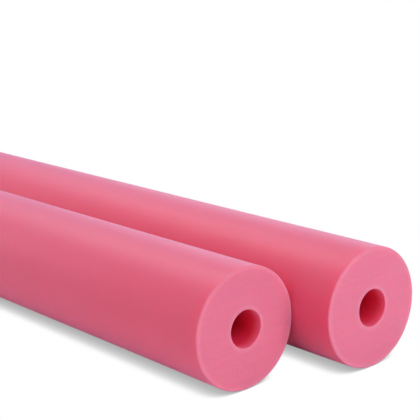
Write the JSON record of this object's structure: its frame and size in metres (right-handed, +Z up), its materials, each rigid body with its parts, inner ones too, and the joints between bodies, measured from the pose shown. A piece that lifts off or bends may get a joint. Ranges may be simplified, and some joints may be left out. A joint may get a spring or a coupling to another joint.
{
  "type": "pool noodle",
  "caption": "Extra-thick foam pool noodle tubes with a bore right through, shown as a pair lying side by side.",
  "frame": {"origin": "on the floor, midway between the two noodles and midway along the pair", "axes": "+X along the noodles towards the ends that the picture shows, +Y towards the rear noodle, +Z up"},
  "size_m": [1.4326, 0.178, 0.0889],
  "materials": {
    "pink_foam": "matte closed-cell polyethylene foam, smooth extruded skin, fine open cells on the cut ends"
  },
  "bodies": {
    "root": {"front_noodle": "pink_foam", "rear_noodle": "pink_foam"}
  },
  "joints": []
}
